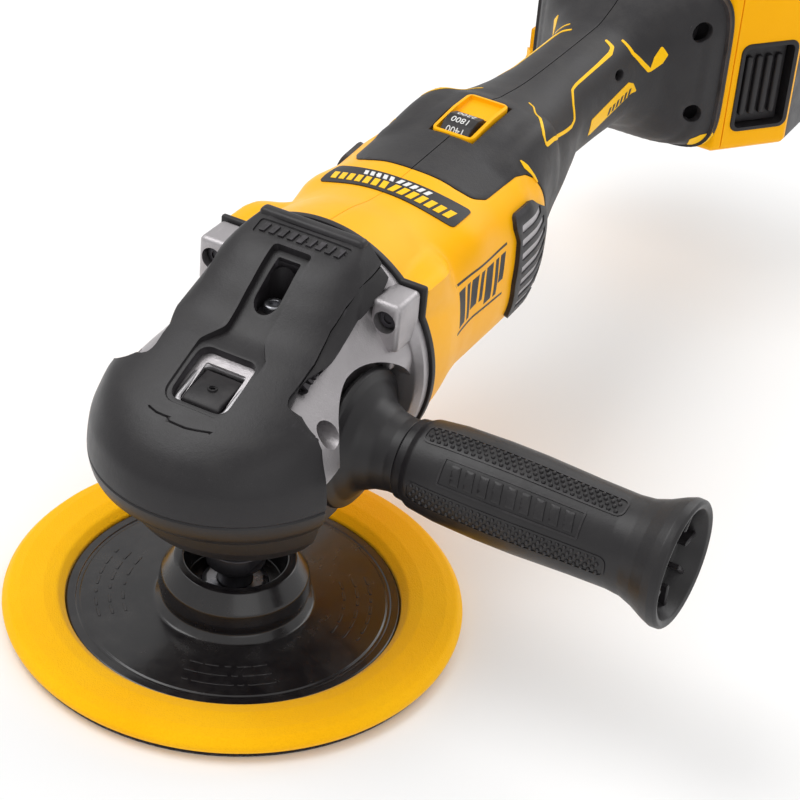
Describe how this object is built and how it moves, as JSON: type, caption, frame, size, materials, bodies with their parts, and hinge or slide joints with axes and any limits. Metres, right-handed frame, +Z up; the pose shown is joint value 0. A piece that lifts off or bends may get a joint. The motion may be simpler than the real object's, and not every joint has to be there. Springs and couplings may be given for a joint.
{
  "type": "rotary polisher",
  "caption": "Cordless rotary polisher: inline motor body with bevel gear head, round foam pad, screw-in side handle, speed dial, trigger and slide-on battery.",
  "frame": {"origin": "centre of the pad's flat working face, on the spindle axis", "axes": "+Z up the spindle away from the work, +Y back along the body to the battery, +X out along the side handle"},
  "size_m": [0.2575, 0.482, 0.1554],
  "materials": {
    "yellow_plastic": "fine satin texture",
    "foam": "soft open-cell foam",
    "black_plastic": "satin",
    "rubber": "matte overmould",
    "gloss_black": "polished",
    "cast_aluminium": "die cast, fine blasted",
    "steel": "ground",
    "dark_steel": "blackened",
    "copper": "enamelled winding",
    "circuit_board": "lacquered board"
  },
  "bodies": {
    "housing": {"gear_case": "cast_aluminium", "gear_case_screw_1": "dark_steel", "gear_case_screw_2": "dark_steel", "gear_case_screw_3": "dark_steel", "gear_case_screw_4": "dark_steel", "spindle_bearing_lower": "steel", "spindle_bearing_upper": "steel", "intermediate_bearing_front": "steel", "intermediate_bearing_rear": "steel", "rotor_bearing_front": "steel", "rotor_bearing_rear": "steel", "bearing_retainer": "dark_steel", "bearing_plate": "cast_aluminium", "seal_ring": "rubber", "head_cover": "black_plastic", "head_cover_screw": "steel", "lock_spring": "steel", "stator": "copper", "housing_left": "yellow_plastic", "grip_left": "rubber", "housing_right": "yellow_plastic", "grip_right": "rubber", "housing_screw_1": "dark_steel", "housing_screw_2": "dark_steel", "housing_screw_3": "dark_steel", "housing_screw_4": "dark_steel", "vent_cover_right": "black_plastic", "vent_cover_left": "black_plastic", "badge_band": "black_plastic", "dial_frame": "yellow_plastic", "speed_sensor_board": "circuit_board", "control_board": "circuit_board", "switch_block": "black_plastic", "trigger_pin": "steel", "trigger_spring": "steel", "battery_rails": "black_plastic", "terminal_block": "black_plastic", "side_handle_stud": "steel", "side_handle_core": "gloss_black", "side_handle_grip": "rubber"},
    "pad_spindle": {"hook_face": "black_plastic", "foam_cushion": "foam", "backing_disc": "gloss_black", "hub_insert": "steel", "spindle": "steel", "bevel_ring_gear": "steel"},
    "intermediate_shaft": {"bevel_pinion_shaft": "steel", "intermediate_gear": "steel"},
    "rotor": {"rotor_shaft": "steel", "rotor_core": "dark_steel", "cooling_fan": "black_plastic"},
    "spindle_lock": {"spindle_lock_button": "black_plastic", "lock_pin": "steel"},
    "dial": {"speed_dial": "black_plastic"},
    "trigger": {"trigger": "black_plastic"},
    "lock_on": {"lock_on_button": "black_plastic"},
    "battery": {"battery_case": "yellow_plastic", "battery_lower_case": "black_plastic", "cell_pack": "dark_steel"},
    "latch": {"battery_latch": "black_plastic"}
  },
  "joints": [
    {"name": "spindle_spin", "type": "hinge", "parent": "housing", "child": "pad_spindle", "pos_m": [0, 0, 0.05], "axis": [0, 0, 1], "continuous": true},
    {"name": "intermediate_spin", "type": "hinge", "parent": "housing", "child": "intermediate_shaft", "pos_m": [0, 0.03, 0.078], "axis": [0, 1, 0], "continuous": true},
    {"name": "rotor_spin", "type": "hinge", "parent": "housing", "child": "rotor", "pos_m": [0, 0.1, 0.098], "axis": [0, 1, 0], "continuous": true},
    {"name": "spindle_lock_press", "type": "slide", "parent": "housing", "child": "spindle_lock", "axis": [0, 0, -1], "range_m": [0, 0.004], "stiffness_N_per_m": 400, "springref_m": -0.004, "deforming": ["lock_spring"]},
    {"name": "speed_dial_turn", "type": "hinge", "parent": "housing", "child": "dial", "pos_m": [0, 0.16, 0.1366], "axis": [1, 0, 0], "range_deg": [-120, 120]},
    {"name": "trigger_pull", "type": "hinge", "parent": "housing", "child": "trigger", "pos_m": [0, 0.284, 0.1035], "axis": [-1, 0, 0], "range_deg": [0, 6], "stiffness_Nm_per_rad": 1, "springref_deg": -5.73, "deforming": ["trigger_spring"]},
    {"name": "lock_on_press", "type": "slide", "parent": "housing", "child": "lock_on", "axis": [1, 0, 0], "range_m": [0, 0.003], "stiffness_N_per_m": 300, "springref_m": -0.003},
    {"name": "battery_slide", "type": "slide", "parent": "housing", "child": "battery", "axis": [1, 0, 0], "range_m": [0, 0.11]},
    {"name": "battery_latch_press", "type": "slide", "parent": "battery", "child": "latch", "axis": [-0.788, 0.6157, 0], "range_m": [0, 0.0025], "stiffness_N_per_m": 400, "springref_m": -0.003}
  ],
  "couplings": [
    {"joint": "intermediate_spin", "follows": "spindle_spin", "ratio": 3},
    {"joint": "rotor_spin", "follows": "spindle_spin", "ratio": -12}
  ]
}
